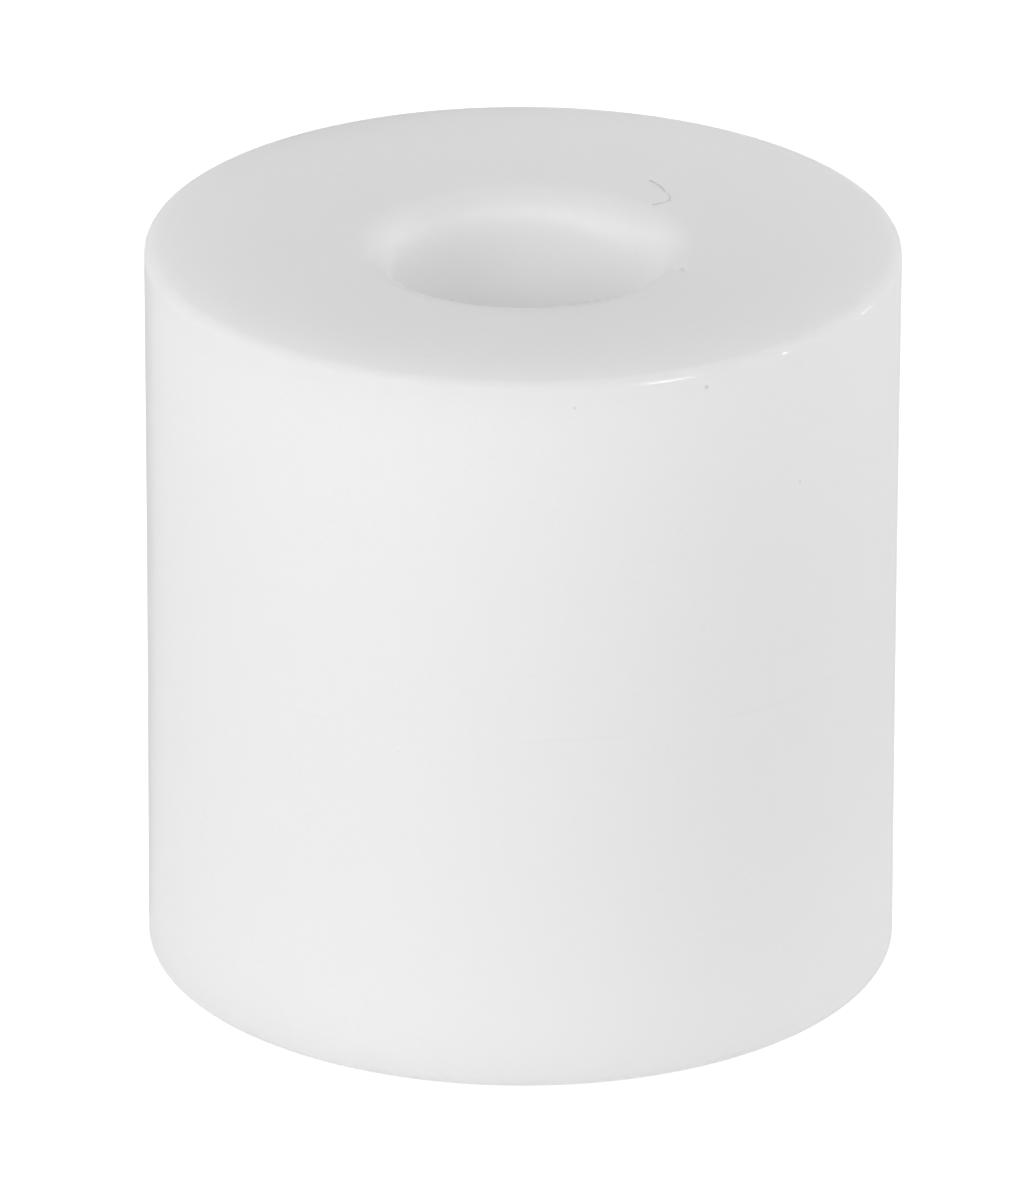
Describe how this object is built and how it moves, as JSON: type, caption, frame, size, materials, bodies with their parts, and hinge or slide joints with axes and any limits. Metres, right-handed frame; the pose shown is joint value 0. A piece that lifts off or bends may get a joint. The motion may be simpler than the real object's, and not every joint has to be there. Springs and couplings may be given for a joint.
{
  "type": "spacer sleeve",
  "caption": "Short round plastic spacer sleeve with a rounded through bore, slipped over a wall screw to hold a fixture off the wall.",
  "frame": {"origin": "centre of the bore at the end face that rests on the wall, which is the bottom of the part", "axes": "+Z along the bore, from the wall end to the fixture end; the sleeve is round, so X and Y are any two square directions across it"},
  "size_m": [0.02, 0.02, 0.02],
  "materials": {
    "white_plastic": "moulded white thermoplastic, satin, slightly translucent, with a soft sheen and no paint"
  },
  "bodies": {
    "root": {"spacer_sleeve": "white_plastic"}
  },
  "joints": []
}
